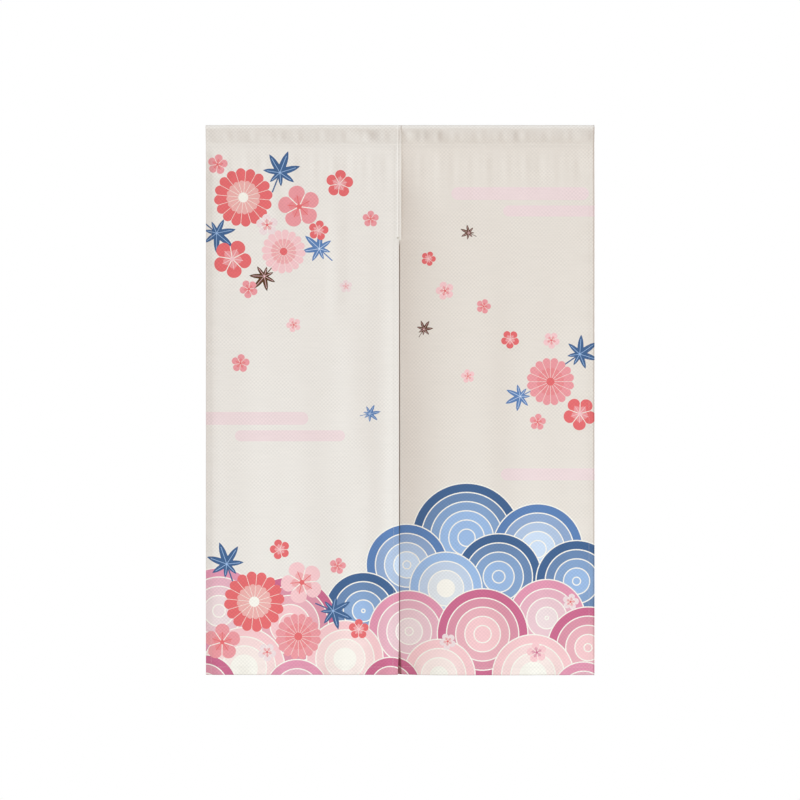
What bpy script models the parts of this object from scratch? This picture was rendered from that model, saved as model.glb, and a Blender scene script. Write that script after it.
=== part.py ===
"""A split doorway curtain: two hanging panels of cloth, each with a rod pocket turned at its top.

Metres, +Z up, +X to the right of someone who faces the front, which faces -Y.
The origin is the middle of the top edge, at the depth of the rod's axis.
A drop is a distance down from the top edge.
"""
import math
from collections import namedtuple

import bmesh
import bpy

# The whole curtain, and the gap between neighbouring pieces
WIDTH = 0.850
HEIGHT = 1.200
GAP = 0.0003

# The cloth, one layer thick, and thicker where it is turned under
CLOTH = 0.0012
HEMMED = 0.0020
SIDE_HEM = 0.014
FOOT_HEM = 0.020
HEM_STEP = 0.002
COLUMNS = 28

# A rod pocket: a loop round the rod, closed below by a stitched band of two layers
POCKET_DROP = 0.045
BAND_HEIGHT = 0.006
BAND_DEPTH = 2 * CLOTH + 0.0002
LOOP_RADIUS = 0.0082
LOOP_STEPS = 8
LOOP_SIDE_STEPS = 3
POCKET_COLUMNS = 22

# The middle: sewn down to the seam's end, then a slit. The right panel's inner hem laps behind
# the left panel, and curls to the back along the slit
SEAM_DROP = 0.249
SLIT = 0.003
SLIT_MIDDLE = -0.0011
LEFT_SIDE = SLIT_MIDDLE - SLIT / 2
CREST = SLIT_MIDDLE + SLIT / 2
LAP = SIDE_HEM
CURL_DROP = 0.330
CURL_ANGLE = math.radians(68)
CURL_RADIUS = 0.003
SET_BACK = 0.003

# Beside the seam the right panel rises out of a valley that widens downwards, and swells forward
SWELL = 0.0075
SWELL_DROP = 0.200
SWELL_EASE = 0.4
VALLEY_TOP = 0.060
VALLEY_FOOT = 0.150

# The slit spreads over its last stretch, where the lap lies flatter behind it
SPREAD_DROP = 1.120
SPREAD_CURL_ANGLE = math.radians(38)
SPREAD_LEFT = 0.0025
SPREAD_RIGHT = 0.0035
SPREAD_REACH = 0.060

# The outer left edge rolls to the back, and the cloth leaves the stitched band flat
ROLL_REACH = 0.030
ROLL_BACK = 0.0024
FLAT_BELOW_BAND = 0.050

CREAM = (0.80, 0.76, 0.71)
ROUGHNESS = 0.9

# Folds that hang in the panels: the middle and full width of each, the drops between which it
# shows, how far it lies to the back, and its sideways lean per metre of drop
Fold = namedtuple("Fold", "x wide top foot back lean")
LEFT_FOLDS = [
    Fold(x=-0.276, wide=0.060, top=0.055, foot=0.26, back=0.0013, lean=0.00),
    Fold(x=-0.137, wide=0.058, top=0.130, foot=0.48, back=0.0015, lean=-0.01),
    Fold(x=-0.104, wide=0.096, top=0.370, foot=0.80, back=0.0024, lean=0.01),
    Fold(x=-0.038, wide=0.073, top=0.060, foot=1.60, back=-0.0016, lean=0.00),
    Fold(x=-0.345, wide=0.130, top=0.100, foot=1.60, back=-0.0024, lean=0.02),
    Fold(x=-0.222, wide=0.120, top=0.300, foot=1.60, back=0.0024, lean=0.02),
    Fold(x=-0.130, wide=0.110, top=0.720, foot=1.60, back=-0.0024, lean=0.01),
]
RIGHT_FOLDS = [
    Fold(x=0.180, wide=0.120, top=0.100, foot=1.60, back=0.0016, lean=0.02),
    Fold(x=0.260, wide=0.140, top=0.160, foot=1.60, back=-0.0022, lean=-0.01),
    Fold(x=0.340, wide=0.080, top=0.600, foot=1.60, back=0.0014, lean=-0.02),
    Fold(x=0.425, wide=0.200, top=0.060, foot=1.60, back=0.0024, lean=0.00),
]
FOLD_FADE = 0.35

# Uneven gathers in the sides of the pockets: each wave's length, height and start in radians
Gather = namedtuple("Gather", "length height start")
FRONT_GATHERS = [
    Gather(length=0.071, height=0.0006, start=0.4),
    Gather(length=0.113, height=0.0005, start=1.9),
]
BACK_GATHERS = [
    Gather(length=0.083, height=0.0005, start=1.1),
    Gather(length=0.131, height=0.0006, start=2.7),
]


def soft_step(value, start, end):
    """0 before start, 1 after end and an even S between them."""
    t = min(max((value - start) / (end - start), 0.0), 1.0)
    return t * t * (3 - 2 * t)


def stations(start, *runs):
    """Values from start through runs of (end, steps)."""
    values = [start]
    for end, steps in runs:
        first = values[-1]
        values += [first + (end - first) * (i + 1) / steps for i in range(steps)]
    return values


def clear_scene():
    """Start from an empty file."""
    for thing in list(bpy.data.objects):
        bpy.data.objects.remove(thing, do_unlink=True)


def cloth_material(name):
    """Cream linen-look cloth."""
    material = bpy.data.materials.new(name)
    material.use_nodes = True
    shader = material.node_tree.nodes["Principled BSDF"]
    shader.inputs["Base Color"].default_value = (*CREAM, 1.0)
    shader.inputs["Roughness"].default_value = ROUGHNESS
    shader.inputs["Metallic"].default_value = 0.0
    return material


def bent_grid(across, along, place):
    """A grid with a column for each value of across and a row for each value of along.

    place(a, b) gives each point. Returns the bmesh and the values behind each vertex.
    """
    columns = len(across) - 1
    rows = len(along) - 1
    grid = bmesh.new()
    bmesh.ops.create_grid(grid, x_segments=columns, y_segments=rows, size=1.0)
    values = []
    for vert in grid.verts:
        a = across[round((vert.co.x + 1) / 2 * columns)]
        b = along[round((vert.co.y + 1) / 2 * rows)]
        vert.co = place(a, b)
        values.append((a, b))
    return grid, values


def cloth_object(name, grid, collection):
    """The named object of one piece of cloth, one layer thick behind its face."""
    mesh = bpy.data.meshes.new(name)
    grid.to_mesh(mesh)
    grid.free()
    mesh.shade_smooth()
    mesh.materials.append(cloth_material(name + "_cloth"))
    sheet = bpy.data.objects.new(name, mesh)
    collection.objects.link(sheet)
    layer = sheet.modifiers.new("layer", "SOLIDIFY")
    layer.thickness = CLOTH
    layer.offset = -1.0
    return sheet


def thicken_hems(sheet, values, is_hem):
    """Give the hems their turned-under thickness, behind the face."""
    hem = sheet.vertex_groups.new(name="hem")
    hem.add([i for i, (x, drop) in enumerate(values) if is_hem(x, drop)], 1.0, "REPLACE")
    layer = sheet.modifiers["layer"]
    layer.vertex_group = hem.name
    layer.thickness = HEMMED
    layer.thickness_vertex_group = CLOTH / HEMMED


def fold_depth(folds, x, drop):
    """How far the folds push the cloth to the back at one place."""
    depth = 0.0
    for fold in folds:
        middle = fold.x + fold.lean * (drop - fold.top)
        off = abs(x - middle) / (fold.wide / 2)
        if off < 1:
            fade = FOLD_FADE * (fold.foot - fold.top)
            shows = soft_step(drop, fold.top, fold.top + fade)
            shows *= 1 - soft_step(drop, fold.foot - fade, fold.foot)
            depth += fold.back * shows * (1 + math.cos(math.pi * off)) / 2
    return depth


def off_the_band(drop):
    """0 at the stitched band, which holds the cloth flat, and 1 where it hangs free."""
    return soft_step(drop, POCKET_DROP, POCKET_DROP + FLAT_BELOW_BAND)


def slit_spread(from_slit, drop):
    """How far the slit's foot has spread, from 0 to 1, at a distance from the slit."""
    return soft_step(drop, SPREAD_DROP, HEIGHT) * (1 - soft_step(from_slit, 0.0, SPREAD_REACH))


def left_point(x, drop):
    """A point of the left panel's face."""
    rolled = max(1 - (x + WIDTH / 2) / ROLL_REACH, 0.0)
    depth = fold_depth(LEFT_FOLDS, x, drop) + ROLL_BACK * rolled ** 2
    y = -BAND_DEPTH / 2 + off_the_band(drop) * depth
    x -= SPREAD_LEFT * slit_spread(LEFT_SIDE - x, drop)
    return x, y, -drop


def right_point(x, drop):
    """A point of the right panel's face. Past its crest the cloth laps behind the left panel."""
    out = max(x - CREST, 0.0)
    lapped = max(CREST - x, 0.0)
    below_seam = soft_step(drop, SEAM_DROP, CURL_DROP)
    swell = SWELL * soft_step(drop, POCKET_DROP, SWELL_DROP)
    valley = HEMMED + GAP + swell + SET_BACK * below_seam
    reach = VALLEY_TOP + (VALLEY_FOOT - VALLEY_TOP) * soft_step(drop, POCKET_DROP, CURL_DROP)
    y = -BAND_DEPTH / 2 + off_the_band(drop) * fold_depth(RIGHT_FOLDS, CREST + out, drop)
    y -= swell * (1 - SWELL_EASE * soft_step(out, VALLEY_FOOT, WIDTH / 2))
    y += valley * max(1 - out / reach, 0.0) ** 3

    # The lap turns to the back along an arc and then runs straight
    spread = slit_spread(0.0, drop)
    angle = below_seam * (CURL_ANGLE + (SPREAD_CURL_ANGLE - CURL_ANGLE) * spread)
    arc = min(lapped, CURL_RADIUS * angle)
    turned = arc / CURL_RADIUS
    straight = lapped - arc
    x = CREST + out - CURL_RADIUS * math.sin(turned) - straight * math.cos(turned)
    y += CURL_RADIUS * (1 - math.cos(turned)) + straight * math.sin(turned)
    x += SPREAD_RIGHT * slit_spread(out, drop)
    return x, y, -drop


def panel_rows():
    """A panel's rows from its foot up, closer where its shape changes."""
    rows = stations(
        POCKET_DROP + GAP,
        (POCKET_DROP + FLAT_BELOW_BAND, 3),
        (SEAM_DROP, 3),
        (CURL_DROP, 4),
        (SPREAD_DROP, 15),
        (HEIGHT - FOOT_HEM - HEM_STEP, 2),
        (HEIGHT - FOOT_HEM, 1),
        (HEIGHT, 1),
    )
    return rows[::-1]


def left_panel(collection):
    """The left panel, hemmed at both sides and the foot."""
    edge = -WIDTH / 2
    columns = stations(
        edge,
        (edge + SIDE_HEM, 3),
        (edge + SIDE_HEM + HEM_STEP, 1),
        (LEFT_SIDE - SIDE_HEM - HEM_STEP, COLUMNS),
        (LEFT_SIDE - SIDE_HEM, 1),
        (LEFT_SIDE, 2),
    )

    def is_hem(x, drop):
        return x <= columns[3] or x >= columns[-3] or drop >= HEIGHT - FOOT_HEM

    grid, values = bent_grid(columns, panel_rows(), left_point)
    sheet = cloth_object("left_panel", grid, collection)
    thicken_hems(sheet, values, is_hem)


def right_panel(collection):
    """The right panel, hemmed the same way, with its lap behind the left panel."""
    edge = WIDTH / 2
    columns = stations(
        CREST - LAP,
        (CREST - CURL_RADIUS * CURL_ANGLE, 2),
        (CREST, 3),
        (CREST + HEM_STEP, 1),
        (edge - SIDE_HEM - HEM_STEP, COLUMNS + 1),
        (edge - SIDE_HEM, 1),
        (edge, 2),
    )

    def is_hem(x, drop):
        return x <= columns[5] or x >= columns[-3] or drop >= HEIGHT - FOOT_HEM

    grid, values = bent_grid(columns, panel_rows(), right_point)
    sheet = cloth_object("right_panel", grid, collection)
    thicken_hems(sheet, values, is_hem)


def pocket_section():
    """The outside of a pocket as (y, z, slack) points, from the foot of its front round to its back.

    slack is 0 where the rod or the stitches hold the cloth and 1 midway between them.
    """
    half = BAND_DEPTH / 2
    band_top = -(POCKET_DROP - BAND_HEIGHT)
    reach = math.hypot(half, -LOOP_RADIUS - band_top)
    tangent = math.atan2(band_top + LOOP_RADIUS, half) + math.acos(LOOP_RADIUS / reach)
    leave_y = LOOP_RADIUS * math.cos(tangent)
    leave_z = LOOP_RADIUS * (math.sin(tangent) - 1)

    back = []
    for t in stations(0.0, (1.0, LOOP_SIDE_STEPS)):
        y = leave_y + (half - leave_y) * t
        z = leave_z + (band_top - leave_z) * t
        back.append((y, z, math.sin(math.pi * t)))
    back.append((half, -POCKET_DROP, 0.0))
    front = [(-y, z, slack) for y, z, slack in reversed(back)]
    over = []
    for angle in stations(math.pi - tangent, (tangent, LOOP_STEPS))[1:-1]:
        over.append((LOOP_RADIUS * math.cos(angle), LOOP_RADIUS * (math.sin(angle) - 1), 0.0))
    return front + over + back + front[:1]


def gathers(waves, x):
    """Height of the uneven gathers at one place along a pocket."""
    return sum(wave.height * math.sin(math.tau * x / wave.length + wave.start) for wave in waves)


def rod_pocket(name, start, end, collection):
    """A rod pocket: one layer turned round the rod, open at both ends."""
    section = pocket_section()

    def place(x, index):
        y, z, slack = section[index]
        if y < 0:
            y -= slack * gathers(FRONT_GATHERS, x)
        else:
            y += slack * gathers(BACK_GATHERS, x)
        return x, y, z

    columns = stations(start, (end, POCKET_COLUMNS))
    tube, _ = bent_grid(columns, range(len(section)), place)
    bmesh.ops.remove_doubles(tube, verts=tube.verts, dist=GAP / 10)
    sheet = cloth_object(name, tube, collection)
    sheet.modifiers["layer"].use_even_offset = True


def build():
    """The two pockets, and the panel that hangs from each."""
    clear_scene()
    collection = bpy.data.collections.new("split_curtain")
    bpy.context.scene.collection.children.link(collection)
    rod_pocket("left_rod_pocket", -WIDTH / 2, SLIT_MIDDLE - GAP / 2, collection)
    rod_pocket("right_rod_pocket", SLIT_MIDDLE + GAP / 2, WIDTH / 2, collection)
    left_panel(collection)
    right_panel(collection)


build()
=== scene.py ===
"""A split doorway curtain of printed linen-look cloth, dressed over its frame.

Metres, +Z up, the front faces -Y, and the origin is the middle of the top edge.
A drop is a distance down from the top edge. A run is a length along the cloth, which is the drop
on the front and goes on over the rod and down the back.
"""
import math
from collections import namedtuple

import bpy
import numpy as np
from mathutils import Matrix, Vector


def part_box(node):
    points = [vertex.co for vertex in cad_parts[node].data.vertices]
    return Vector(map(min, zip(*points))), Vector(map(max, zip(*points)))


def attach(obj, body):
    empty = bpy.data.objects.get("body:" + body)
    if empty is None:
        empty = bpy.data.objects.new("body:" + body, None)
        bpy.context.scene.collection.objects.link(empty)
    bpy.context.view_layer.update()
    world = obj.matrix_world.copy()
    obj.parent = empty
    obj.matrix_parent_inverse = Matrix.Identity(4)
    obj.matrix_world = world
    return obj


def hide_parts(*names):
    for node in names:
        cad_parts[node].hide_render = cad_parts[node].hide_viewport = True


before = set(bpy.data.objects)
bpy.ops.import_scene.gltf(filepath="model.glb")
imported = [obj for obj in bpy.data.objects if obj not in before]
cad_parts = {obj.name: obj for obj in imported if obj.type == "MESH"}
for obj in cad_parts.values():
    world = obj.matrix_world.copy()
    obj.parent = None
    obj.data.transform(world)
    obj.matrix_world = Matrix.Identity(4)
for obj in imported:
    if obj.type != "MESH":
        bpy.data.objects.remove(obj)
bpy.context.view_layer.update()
bpy.ops.object.select_all(action="DESELECT")


# Cloth panels
# Two lengths of linen-look polyester in plain weave, hemmed by turning their edges to the back.
# The top of each is turned over the rod to the back and stitched down. The right one laps behind
# the left, where they are sewn together above and hang open below.

# The stitched hems draw the cloth in by a millimetre or so at each side
drawn_in = 0.0013
left_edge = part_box("left_rod_pocket")[0].x + drawn_in
right_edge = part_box("right_rod_pocket")[1].x - drawn_in
foot_drop = -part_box("left_panel")[0].z
pocket_drop = -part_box("left_rod_pocket")[0].z
slit_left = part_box("left_panel")[1].x + 0.0004
slit_right = slit_left + 0.0024

# One layer, and the hems, which are turned to the back and stitched near their inner edge
cloth_thick = 0.00045
hem_thick = 0.00125
side_hem = 0.014
foot_hem = 0.020
hem_edge = 0.0003
side_stitch = 0.0115
foot_stitch = 0.0175

# The rod pocket: a loop round the rod, a stitched band below it, and the turned-down edge
band_height = 0.006
band_depth = 0.0026
stitch_drop = pocket_drop - band_height / 2
allowance_drop = 0.052
allowance_thick = 2 * cloth_thick
loop_radius = 0.0080
into_band = 0.002
allowance_steps = 5

# The seam, where the left panel laps over the right one, and the lap's curl below it
seam_drop = 0.249
seam_end_above = 0.004
seam_end_below = 0.003
seam_end_slope = 1.5
seam_over = 0.0037
seam_over_reach = 0.030
seam_stitch = 0.0048
lap = side_hem
# Painted shade on the lap, counted in layers, which darkens the slit
lap_painted_shade = 5.5
lap_recess = 0.0017
seam_step = 0.0032
tuck = 0.0006
tuck_width = 0.0020
curl_drop = 0.330
curl_angle = math.radians(77)
curl_radius = 0.0005
set_back = 0.003

# The right panel rises out of a valley beside the seam and swells forward
swell_forward = 0.0075
swell_drop = 0.200
swell_ease = 0.4
valley_top = 0.060
valley_foot = 0.150

# The slit spreads over its last stretch, where the lap lies flatter
spread_drop = 1.120
spread_curl_angle = math.radians(42)
spread_left = 0.0025
spread_right = 0.0035
spread_reach = 0.060

# The left panel's edges roll to the back, and the cloth leaves the stitched band flat
roll_reach = 0.030
roll_back = 0.0024
slit_roll_reach = 0.036
slit_roll_back = 0.0007
flat_below_band = 0.050
# The hems' folded edges: the width and strength, in layers, of the painted shade along them, and how
# far they curl
fold_line = 0.0024
fold_edge_shade = 3.5
foot_edge_shade = 9.0
edge_reach = 0.0040
edge_curl = 0.0010
foot_reach = 0.0030
foot_roll = 0.0020

# A fold's middle, full width, first and last drop, depth to the back and sideways lean per metre.
# It fades in and out over a share of its length
fold_fade = 0.35
Fold = namedtuple("Fold", "x wide top foot back lean")
folds = {
    "left": [
        Fold(-0.276, 0.060, 0.055, 0.26, 0.0008, 0.00),
        Fold(-0.137, 0.058, 0.130, 0.48, 0.0009, -0.01),
        Fold(-0.104, 0.096, 0.370, 0.80, 0.0012, 0.01),
        Fold(-0.038, 0.073, 0.060, 1.60, -0.0012, 0.00),
        Fold(-0.345, 0.130, 0.100, 1.60, -0.0011, 0.02),
        Fold(-0.222, 0.120, 0.300, 1.60, 0.0009, 0.02),
        Fold(-0.130, 0.110, 0.720, 1.60, -0.0014, 0.01),
    ],
    "right": [
        Fold(0.000, 0.200, 0.360, 1.60, 0.0025, 0.00),
        Fold(0.180, 0.120, 0.100, 1.60, 0.0008, 0.02),
        Fold(0.260, 0.140, 0.160, 1.60, -0.0012, -0.01),
        Fold(0.340, 0.080, 0.600, 1.60, 0.0008, -0.02),
        Fold(0.425, 0.200, 0.060, 1.60, 0.0024, 0.00),
    ],
}

# Pleats pinched in the pocket's sides: middle, width of the steep flank, depth, and painted shade in
# the flank, counted in layers
Pleat = namedtuple("Pleat", "x wide back layers")
pleats = {
    "left": [
        Pleat(-0.419, 0.006, 0.0006, 1.0),
        Pleat(-0.259, 0.008, 0.0007, 0.6),
        Pleat(-0.066, 0.013, 0.0018, 1.6),
    ],
    "right": [
        Pleat(0.034, 0.007, 0.0019, 1.8),
        Pleat(0.052, 0.006, 0.0015, 2.0),
        Pleat(0.082, 0.007, 0.0011, 1.0),
        Pleat(0.246, 0.007, 0.0012, 1.4),
        Pleat(0.394, 0.005, 0.0006, 0.5),
        Pleat(0.412, 0.005, 0.0009, 1.4),
    ],
}
# How much wider a pleat's easy side is, and how far along the steep one its painted shade lies
pleat_ease = 3.0
pleat_flank = 0.7

# Gathers and puckers: each wave's length, height and start in radians
Wave = namedtuple("Wave", "length height start")
pocket_gathers = [
    Wave(0.071, 0.00026, 0.4),
    Wave(0.113, 0.00030, 1.9),
    Wave(0.031, 0.00020, 2.2),
    Wave(0.019, 0.00012, 0.9),
]
# The gathers behind the rod are out of step with those in front by twice this
gathers_apart = 0.013
band_puckers = [
    Wave(0.047, 0.00030, 2.0),
    Wave(0.083, 0.00035, 0.7),
    Wave(0.021, 0.00014, 1.3),
]
pucker_reach = 0.080
hem_puckers = [
    Wave(0.061, 0.00030, 0.6),
    Wave(0.034, 0.00016, 2.9),
]
hem_pucker_reach = 0.030
# How far stitches draw the cloth in, and how widely
stitch_dent = 0.00020
seam_dent = 0.00045
dent_width = 0.0011


def soft_step(value, start, end):
    """0 before start, 1 after end and an even S between them."""
    t = np.clip((value - start) / (end - start), 0.0, 1.0)
    return t * t * (3 - 2 * t)


def bump_at(value, middle, width):
    """1 at the middle, falling off evenly to each side."""
    return np.exp(-((value - middle) / width) ** 2)


def stations(start, *runs):
    """Values from start through runs of (end, steps)."""
    values = [start]
    for end, steps in runs:
        first = values[-1]
        values += [first + (end - first) * (i + 1) / steps for i in range(steps)]
    return values


def waves(several, along):
    """Summed height of several waves."""
    return sum(w.height * np.sin(math.tau * along / w.length + w.start) for w in several)


def pleat_depth(side, x):
    """How far a pocket's pleats go in: each eases in from the left and comes back steeply."""
    depth = np.zeros_like(x)
    for pleat in pleats[side]:
        width = np.where(x < pleat.x, pleat_ease * pleat.wide, pleat.wide)
        depth += pleat.back * bump_at(x, pleat.x, width)
    return depth


def pleat_painted_shade(side, x):
    """Painted shade, counted in layers, that a pocket's pleats add, most so in their steep flanks."""
    return sum(
        p.layers * bump_at(x, p.x + pleat_flank * p.wide, p.wide) for p in pleats[side]
    )


def fold_depth(side, x, drop):
    """How far a panel's folds push its cloth to the back."""
    depth = np.zeros_like(x)
    for fold in folds[side]:
        middle = fold.x + fold.lean * (drop - fold.top)
        off = np.clip(np.abs(x - middle) / (fold.wide / 2), 0.0, 1.0)
        fade = fold_fade * (fold.foot - fold.top)
        shows = soft_step(drop, fold.top, fold.top + fade)
        shows = shows * (1 - soft_step(drop, fold.foot - fade, fold.foot))
        depth += fold.back * shows * (1 + np.cos(math.pi * off)) / 2
    return depth


# A row of the cloth: its run, the drop, depth and outward direction of its face, its slack
# between the rod and the stitches, and how far the stitches press its layers together
Row = namedtuple("Row", "run drop depth out_y out_z slack pressed")


def cloth_rows():
    """Rows from the foot up the face, over the rod and down the back to the turned-in edge."""
    half = band_depth / 2
    drops = stations(
        foot_drop,
        (foot_drop - foot_reach, 4),
        (foot_drop - foot_stitch, 3),
        (foot_drop - foot_hem, 1),
        (foot_drop - foot_hem - hem_edge, 1),
        (spread_drop, 12),
        (curl_drop, 158),
        (seam_drop, 27),
        (pocket_drop + flat_below_band, 31),
        (pocket_drop, 14),
        (stitch_drop, 3),
    )
    rows = [Row(d, d, -half, -1.0, 0.0, 0.0, 1.0) for d in drops]

    band_top = -(pocket_drop - band_height)
    reach = math.hypot(half, -loop_radius - band_top)
    tangent = math.atan2(band_top + loop_radius, half) + math.acos(loop_radius / reach)
    out_y = math.cos(tangent)
    out_z = math.sin(tangent)
    loop_y = loop_radius * out_y
    loop_z = loop_radius * (out_z - 1)
    side = []
    for t in stations(1.0, (0.0, 10)):
        y = loop_y + (half - loop_y) * t
        z = loop_z + (band_top - loop_z) * t
        side.append((y, z, math.sin(math.pi * t), t * t * (3 - 2 * t)))
    points = [(-y, z, -out_y, out_z, slack, pressed) for y, z, slack, pressed in side]
    for angle in stations(math.pi - tangent, (tangent, 20))[1:-1]:
        c, s = math.cos(angle), math.sin(angle)
        points.append((loop_radius * c, loop_radius * (s - 1), c, s, 0.0, 0.0))
    points += [(y, z, out_y, out_z, slack, pressed) for y, z, slack, pressed in reversed(side)]
    first = pocket_drop - band_height + into_band
    for drop in stations(first, (stitch_drop, 1), (allowance_drop, allowance_steps)):
        points.append((half, -drop, 1.0, 0.0, 0.0, 1.0))

    last_y, last_z, run = -half, -stitch_drop, stitch_drop
    for y, z, out_y, out_z, slack, pressed in points:
        run -= math.hypot(y - last_y, z - last_z)
        rows.append(Row(run, -z, y, out_y, out_z, slack, pressed))
        last_y, last_z = y, z
    return rows


rows = cloth_rows()
row_values = {field: np.array([getattr(row, field) for row in rows]) for field in Row._fields}
back_stitch_run = rows[-1 - allowance_steps].run


def row_at(run):
    """The row values at any run."""
    back_to_front = row_values["run"][::-1]
    return {field: np.interp(run, back_to_front, row_values[field][::-1]) for field in Row._fields}


# Columns stand close together within this far of the slit's edges
close_left = 0.006
close_right = 0.008


def cloth_columns(side):
    """Columns across a panel, close together at its hems, seam and slit."""
    if side == "left":
        return stations(
            left_edge,
            (left_edge + fold_line, 2),
            (left_edge + side_stitch, 3),
            (left_edge + side_hem, 1),
            (left_edge + side_hem + hem_edge, 1),
            (slit_left - side_hem - hem_edge, 122),
            (slit_left - side_hem, 1),
            (slit_left - side_stitch, 1),
            (slit_left - close_left, 4),
            (slit_left, 8),
        )
    return stations(
        slit_right - lap,
        (slit_right - curl_radius * curl_angle, 5),
        (slit_right, 4),
        (slit_right + hem_edge, 1),
        (slit_right + close_right, 8),
        (right_edge - side_hem - hem_edge, 120),
        (right_edge - side_hem, 1),
        (right_edge - side_stitch, 1),
        (right_edge - edge_reach, 3),
        (right_edge, 4),
    )


# The turned-down layer's gap to the front, its lump at the seam and the width of its steps
layer_gap = 0.00005
seam_lump = 0.0006
layer_ease = 0.005


def layers_depth(side, x):
    """Depth of the turned-down layer's outer face: thicker at the hems, most so at the seam."""
    plain = -band_depth / 2 + cloth_thick + allowance_thick + layer_gap
    hemmed = -band_depth / 2 + 2 * hem_thick + layer_gap
    lumped = -band_depth / 2 + 4 * hem_thick + seam_lump
    if side == "left":
        at_hem = 1 - soft_step(x, left_edge + side_hem, left_edge + side_hem + layer_ease)
        at_seam = soft_step(x, slit_left - side_hem - layer_ease, slit_left - side_hem)
        return plain + (hemmed - plain) * at_hem + (lumped - plain) * at_seam
    at_hem = soft_step(x, right_edge - side_hem - layer_ease, right_edge - side_hem)
    at_hem += 1 - soft_step(x, slit_right, slit_right + layer_ease)
    return plain + (hemmed - plain) * at_hem


def slit_spread(from_slit, drop):
    """How far the slit's foot has spread, from 0 to 1, at a distance from the slit."""
    return soft_step(drop, spread_drop, foot_drop) * (1 - soft_step(from_slit, 0.0, spread_reach))


def hang(side, x, row):
    """Places of the cloth's face, from arrays of flat x and of row values."""
    drop = row["drop"]
    out_y = row["out_y"]
    out_z = row["out_z"]
    front = out_y < -0.99
    free = soft_step(drop, pocket_drop, pocket_drop + flat_below_band) * front
    end_above = seam_drop - seam_end_above
    end_below = seam_drop + seam_end_below
    sewn = 1 - soft_step(drop, end_above, end_below)
    behind = row["pressed"] * (out_y > 0)
    y = row["depth"] + behind * (layers_depth(side, x) - band_depth / 2)
    z = -drop

    # Puckers that run out below the pocket's stitches and along the hems
    y = y + free * bump_at(drop, pocket_drop, pucker_reach) * waves(band_puckers, x)
    edge = np.minimum(x - left_edge, right_edge - x)
    y = y + free * bump_at(edge, 0.0, hem_pucker_reach) * waves(hem_puckers, drop)
    y = y + free * bump_at(foot_drop - drop, 0.0, hem_pucker_reach) * waves(hem_puckers, x)
    y = y + free * foot_roll * np.maximum(1 - (foot_drop - drop) / foot_reach, 0.0) ** 3

    # Gathers stand out of the pocket's sides, and stitches draw the cloth in
    lift = row["slack"] * waves(pocket_gathers, x + gathers_apart * np.sign(out_y))
    lift = lift - row["slack"] * pleat_depth(side, x)
    lift = lift - stitch_dent * bump_at(drop, stitch_drop, dent_width)
    lift = lift - stitch_dent / 2 * free * bump_at(edge, side_stitch, dent_width)
    lift = lift - stitch_dent / 2 * free * bump_at(foot_drop - drop, foot_stitch, dent_width)

    if side == "left":
        out = np.maximum(slit_left - x, 0.0)
        y = y + free * fold_depth(side, x, drop)
        y = y + free * roll_back * np.maximum(1 - (x - left_edge) / roll_reach, 0.0) ** 2
        y = y + (1 - sewn) * slit_roll_back * np.maximum(1 - out / slit_roll_reach, 0.0) ** 2
        lift = lift - seam_dent * sewn * bump_at(x, slit_left - seam_stitch, dent_width)
        ending = seam_end_slope * out
        held = 1 - soft_step(drop, end_above - ending, end_below + ending)
        shift = seam_over * held * (1 - soft_step(out, 0.0, seam_over_reach))
        place = x + shift - spread_left * slit_spread(out, drop)
        return place, y + out_y * lift, z + out_z * lift

    # The right panel rises out of a valley beside the seam, and swells forward
    out = np.maximum(x - slit_right, 0.0)
    y = y + free * fold_depth(side, slit_right + out, drop)
    past_seam = np.clip((drop - seam_drop) / (curl_drop - seam_drop), 0.0, 1.0) * front
    below_seam = 1 - (1 - past_seam) ** 4
    swell = swell_forward * soft_step(drop, pocket_drop, swell_drop) * front
    reach = valley_top + (valley_foot - valley_top) * soft_step(drop, pocket_drop, curl_drop)
    reach = seam_step + (reach - seam_step) * row["pressed"]
    covered = sewn * (slit_left + seam_over - slit_right)
    rising = np.maximum(1 - np.maximum(out - covered, 0.0) / reach, 0.0) ** 3
    y = y - swell * (1 - swell_ease * soft_step(out, valley_foot, right_edge))
    y = y + (swell + set_back * below_seam) * rising
    tucked = bump_at(x, slit_left + seam_over + tuck_width / 2, tuck_width)
    inset = lap_recess * rising + tuck * sewn * row["pressed"] * tucked
    y = y + 2 * behind * inset
    lift = lift - inset

    # Its outer hem's edge curls a little to the front
    curl = edge_curl * np.maximum(1 - (right_edge - x) / edge_reach, 0.0) ** 2
    lift = lift + curl * np.maximum(-out_y, 0.0)

    # Its inner hem curls to the back along the slit
    spread = slit_spread(0.0, drop)
    angle = below_seam * (curl_angle + (spread_curl_angle - curl_angle) * spread)
    lapped = np.maximum(slit_right - x, 0.0)
    arc = np.minimum(lapped, curl_radius * angle)
    turned = arc / curl_radius
    straight = lapped - arc
    place = slit_right + out - curl_radius * np.sin(turned) - straight * np.cos(turned)
    place = place + spread_right * slit_spread(out, drop)
    y = y + curl_radius * (1 - np.cos(turned)) + straight * np.sin(turned)
    return place, y + out_y * lift, z + out_z * lift


def linear(code):
    """A linear colour, with alpha 1, from an sRGB hex value."""
    parts = [int(code[i:i + 2], 16) / 255 for i in (1, 3, 5)]
    return [c / 12.92 if c <= 0.04045 else ((c + 0.055) / 1.055) ** 2.4 for c in parts] + [1.0]


# The print is of plum blossoms, chrysanthemums and maple leaves over rounded waves
dyes = {
    "cream": linear("#F4EEE4"),
    "coral": linear("#E36A6C"),
    "pink": linear("#E9979C"),
    "pale": linear("#F2C4C6"),
    "ghost": linear("#EBD6D6"),
    "rose": linear("#C9688A"),
    "mauve": linear("#DF93AB"),
    "brown": linear("#5A3A22"),
    "navy": linear("#41618C"),
    "blue": linear("#5C7FB2"),
    "sky": linear("#9AB6DC"),
    "ice": linear("#CBD9EC"),
}

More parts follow.
